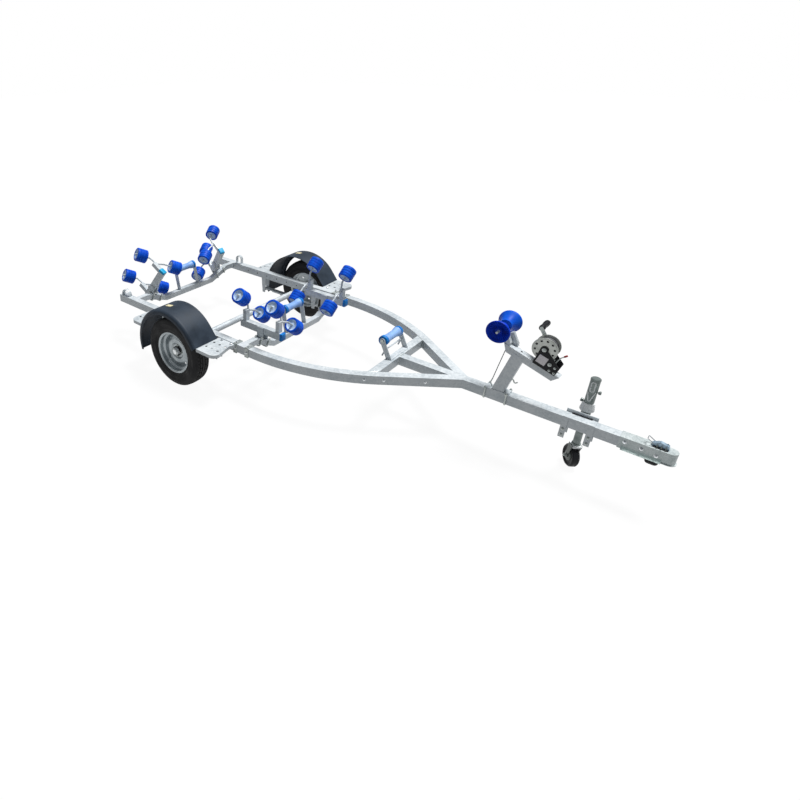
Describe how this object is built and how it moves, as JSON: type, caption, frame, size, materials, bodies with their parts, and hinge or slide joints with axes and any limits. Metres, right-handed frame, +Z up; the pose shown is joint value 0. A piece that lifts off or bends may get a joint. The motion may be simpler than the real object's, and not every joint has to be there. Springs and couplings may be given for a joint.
{
  "type": "boat trailer",
  "caption": "Single-axle galvanised boat trailer with tipping roller carriages, keel and bow rollers, winch post, mudguards and a jockey wheel.",
  "frame": {"origin": "on the floor under the middle of the overall box", "axes": "+X towards the coupling, +Y to the trailer's left, +Z up"},
  "size_m": [4.5254, 2.01, 0.999],
  "materials": {
    "galvanised": "hot-dip galvanised, matt",
    "zinc": "zinc plated",
    "roller_blue": "moulded blue polyurethane",
    "guard_plastic": "black moulded plastic",
    "tyre_rubber": "black rubber",
    "jockey_rubber": "black solid rubber",
    "wheel_paint": "silver paint",
    "hub_metal": "black painted casting",
    "winch_black": "black powder coat"
  },
  "bodies": {
    "frame": {"rail_right": "galvanised", "rail_left": "galvanised", "drawbar": "galvanised", "front_crossmember": "galvanised", "middle_crossmember": "galvanised", "rear_crossmember": "galvanised", "axle": "galvanised", "spring_right": "galvanised", "spring_left": "galvanised", "mudguard_right": "guard_plastic", "mudguard_left": "guard_plastic", "step_plates_right": "galvanised", "step_plates_left": "galvanised", "light_brackets": "galvanised", "keel_bracket_front": "galvanised", "keel_bracket_middle": "galvanised", "keel_bracket_rear": "galvanised", "carriage_brackets_middle": "galvanised", "carriage_brackets_rear": "galvanised", "winch_post": "galvanised", "winch_frame": "winch_black", "jack_bracket": "zinc", "coupler": "zinc", "coupler_latch": "zinc"},
    "wheel_right": {"tyre_right": "tyre_rubber", "rim_right": "wheel_paint", "hub_right": "hub_metal"},
    "wheel_left": {"tyre_left": "tyre_rubber", "rim_left": "wheel_paint", "hub_left": "hub_metal"},
    "keel_roller_front": {"keel_roller_front": "roller_blue"},
    "keel_roller_middle": {"keel_roller_middle": "roller_blue"},
    "keel_roller_rear": {"keel_roller_rear": "roller_blue"},
    "carriage_middle_right": {"carriage_middle_right": "galvanised"},
    "roller_middle_right_upper_front": {"roller_middle_right_upper_front": "roller_blue"},
    "roller_middle_right_lower_front": {"roller_middle_right_lower_front": "roller_blue"},
    "roller_middle_right_upper_rear": {"roller_middle_right_upper_rear": "roller_blue"},
    "roller_middle_right_lower_rear": {"roller_middle_right_lower_rear": "roller_blue"},
    "carriage_middle_left": {"carriage_middle_left": "galvanised"},
    "roller_middle_left_upper_front": {"roller_middle_left_upper_front": "roller_blue"},
    "roller_middle_left_lower_front": {"roller_middle_left_lower_front": "roller_blue"},
    "roller_middle_left_upper_rear": {"roller_middle_left_upper_rear": "roller_blue"},
    "roller_middle_left_lower_rear": {"roller_middle_left_lower_rear": "roller_blue"},
    "carriage_rear_right": {"carriage_rear_right": "galvanised"},
    "roller_rear_right_upper_front": {"roller_rear_right_upper_front": "roller_blue"},
    "roller_rear_right_lower_front": {"roller_rear_right_lower_front": "roller_blue"},
    "roller_rear_right_upper_rear": {"roller_rear_right_upper_rear": "roller_blue"},
    "roller_rear_right_lower_rear": {"roller_rear_right_lower_rear": "roller_blue"},
    "carriage_rear_left": {"carriage_rear_left": "galvanised"},
    "roller_rear_left_upper_front": {"roller_rear_left_upper_front": "roller_blue"},
    "roller_rear_left_lower_front": {"roller_rear_left_lower_front": "roller_blue"},
    "roller_rear_left_upper_rear": {"roller_rear_left_upper_rear": "roller_blue"},
    "roller_rear_left_lower_rear": {"roller_rear_left_lower_rear": "roller_blue"},
    "bow_roller": {"bow_roller": "roller_blue"},
    "winch_drum": {"winch_drum": "zinc"},
    "winch_crank": {"winch_crank": "zinc"},
    "jack_tube": {"jack_tube": "zinc"},
    "jack_leg": {"jack_leg": "zinc"},
    "jack_fork": {"jack_fork": "zinc"},
    "jack_wheel": {"jack_wheel": "jockey_rubber"}
  },
  "joints": [
    {"name": "wheel_right_spin", "type": "hinge", "parent": "frame", "child": "wheel_right", "pos_m": [-1.0473, -0.915, 0.304], "axis": [0, 1, 0], "continuous": true},
    {"name": "wheel_left_spin", "type": "hinge", "parent": "frame", "child": "wheel_left", "pos_m": [-1.0473, 0.915, 0.304], "axis": [0, 1, 0], "continuous": true},
    {"name": "carriage_middle_right_tip", "type": "hinge", "parent": "frame", "child": "carriage_middle_right", "pos_m": [-0.5223, -0.448, 0.502], "axis": [0, 1, 0], "range_deg": [-18, 18]},
    {"name": "roller_middle_right_upper_front_spin", "type": "hinge", "parent": "carriage_middle_right", "child": "roller_middle_right_upper_front", "pos_m": [-0.3513, -0.508, 0.755], "axis": [0, -0.788, 0.6157], "continuous": true},
    {"name": "roller_middle_right_lower_front_spin", "type": "hinge", "parent": "carriage_middle_right", "child": "roller_middle_right_lower_front", "pos_m": [-0.3513, -0.247, 0.509], "axis": [0, -0.788, 0.6157], "continuous": true},
    {"name": "roller_middle_right_upper_rear_spin", "type": "hinge", "parent": "carriage_middle_right", "child": "roller_middle_right_upper_rear", "pos_m": [-0.7023, -0.508, 0.755], "axis": [0, -0.788, 0.6157], "continuous": true},
    {"name": "roller_middle_right_lower_rear_spin", "type": "hinge", "parent": "carriage_middle_right", "child": "roller_middle_right_lower_rear", "pos_m": [-0.7023, -0.247, 0.509], "axis": [0, -0.788, 0.6157], "continuous": true},
    {"name": "carriage_middle_left_tip", "type": "hinge", "parent": "frame", "child": "carriage_middle_left", "pos_m": [-0.5223, 0.448, 0.502], "axis": [0, 1, 0], "range_deg": [-18, 18]},
    {"name": "roller_middle_left_upper_front_spin", "type": "hinge", "parent": "carriage_middle_left", "child": "roller_middle_left_upper_front", "pos_m": [-0.3513, 0.508, 0.755], "axis": [0, 0.788, 0.6157], "continuous": true},
    {"name": "roller_middle_left_lower_front_spin", "type": "hinge", "parent": "carriage_middle_left", "child": "roller_middle_left_lower_front", "pos_m": [-0.3513, 0.247, 0.509], "axis": [0, 0.788, 0.6157], "continuous": true},
    {"name": "roller_middle_left_upper_rear_spin", "type": "hinge", "parent": "carriage_middle_left", "child": "roller_middle_left_upper_rear", "pos_m": [-0.7023, 0.508, 0.755], "axis": [0, 0.788, 0.6157], "continuous": true},
    {"name": "roller_middle_left_lower_rear_spin", "type": "hinge", "parent": "carriage_middle_left", "child": "roller_middle_left_lower_rear", "pos_m": [-0.7023, 0.247, 0.509], "axis": [0, 0.788, 0.6157], "continuous": true},
    {"name": "carriage_rear_right_tip", "type": "hinge", "parent": "frame", "child": "carriage_rear_right", "pos_m": [-1.9443, -0.439, 0.481], "axis": [-0.284, 0.9588, 0], "range_deg": [0, 60]},
    {"name": "roller_rear_right_upper_front_spin", "type": "hinge", "parent": "carriage_rear_right", "child": "roller_rear_right_upper_front", "pos_m": [-2.02497, -0.48578, 0.80327], "axis": [-0.3742, -0.8288, 0.4161], "continuous": true},
    {"name": "roller_rear_right_lower_front_spin", "type": "hinge", "parent": "carriage_rear_right", "child": "roller_rear_right_lower_front", "pos_m": [-1.86657, -0.20756, 0.64159], "axis": [-0.3742, -0.8288, 0.4161], "continuous": true},
    {"name": "roller_rear_right_upper_rear_spin", "type": "hinge", "parent": "carriage_rear_right", "child": "roller_rear_right_upper_rear", "pos_m": [-2.18556, -0.53335, 0.56408], "axis": [-0.3742, -0.8288, 0.4161], "continuous": true},
    {"name": "roller_rear_right_lower_rear_spin", "type": "hinge", "parent": "carriage_rear_right", "child": "roller_rear_right_lower_rear", "pos_m": [-2.02715, -0.25513, 0.4024], "axis": [-0.3742, -0.8288, 0.4161], "continuous": true},
    {"name": "carriage_rear_left_tip", "type": "hinge", "parent": "frame", "child": "carriage_rear_left", "pos_m": [-1.9443, 0.439, 0.481], "axis": [0.284, 0.9588, 0], "range_deg": [0, 60]},
    {"name": "roller_rear_left_upper_front_spin", "type": "hinge", "parent": "carriage_rear_left", "child": "roller_rear_left_upper_front", "pos_m": [-2.02497, 0.48578, 0.80327], "axis": [-0.3742, 0.8288, 0.4161], "continuous": true},
    {"name": "roller_rear_left_lower_front_spin", "type": "hinge", "parent": "carriage_rear_left", "child": "roller_rear_left_lower_front", "pos_m": [-1.86657, 0.20756, 0.64159], "axis": [-0.3742, 0.8288, 0.4161], "continuous": true},
    {"name": "roller_rear_left_upper_rear_spin", "type": "hinge", "parent": "carriage_rear_left", "child": "roller_rear_left_upper_rear", "pos_m": [-2.18556, 0.53335, 0.56408], "axis": [-0.3742, 0.8288, 0.4161], "continuous": true},
    {"name": "roller_rear_left_lower_rear_spin", "type": "hinge", "parent": "carriage_rear_left", "child": "roller_rear_left_lower_rear", "pos_m": [-2.02715, 0.25513, 0.4024], "axis": [-0.3742, 0.8288, 0.4161], "continuous": true},
    {"name": "keel_roller_front_spin", "type": "hinge", "parent": "frame", "child": "keel_roller_front", "pos_m": [0.3907, 0, 0.585], "axis": [0, 1, 0], "continuous": true},
    {"name": "keel_roller_middle_spin", "type": "hinge", "parent": "frame", "child": "keel_roller_middle", "pos_m": [-0.5653, 0, 0.55], "axis": [0, 1, 0], "continuous": true},
    {"name": "keel_roller_rear_spin", "type": "hinge", "parent": "frame", "child": "keel_roller_rear", "pos_m": [-1.9523, 0, 0.57], "axis": [0, 1, 0], "continuous": true},
    {"name": "bow_roller_spin", "type": "hinge", "parent": "frame", "child": "bow_roller", "pos_m": [1.1757, 0, 0.922], "axis": [0, 1, 0], "continuous": true},
    {"name": "winch_drum_turn", "type": "hinge", "parent": "frame", "child": "winch_drum", "pos_m": [1.45014, 0, 0.86436], "axis": [0, 1, 0], "continuous": true},
    {"name": "winch_crank_turn", "type": "hinge", "parent": "frame", "child": "winch_crank", "pos_m": [1.49999, 0, 0.77698], "axis": [0, 1, 0], "continuous": true},
    {"name": "jack_swing", "type": "hinge", "parent": "frame", "child": "jack_tube", "pos_m": [1.7377, 0.134, 0.4], "axis": [0, 1, 0], "range_deg": [0, 90]},
    {"name": "jack_leg_slide", "type": "slide", "parent": "jack_tube", "child": "jack_leg", "axis": [0, 0, 1], "range_m": [-0.15, 0.09]},
    {"name": "jack_swivel", "type": "hinge", "parent": "jack_leg", "child": "jack_fork", "pos_m": [1.7377, 0.134, 0.18], "axis": [0, 0, 1], "continuous": true},
    {"name": "jack_wheel_spin", "type": "hinge", "parent": "jack_fork", "child": "jack_wheel", "pos_m": [1.72846, 0.14582, 0.078], "axis": [0.788, 0.6157, 0], "continuous": true}
  ],
  "couplings": [
    {"joint": "winch_crank_turn", "follows": "winch_drum_turn", "ratio": -3.3478}
  ]
}
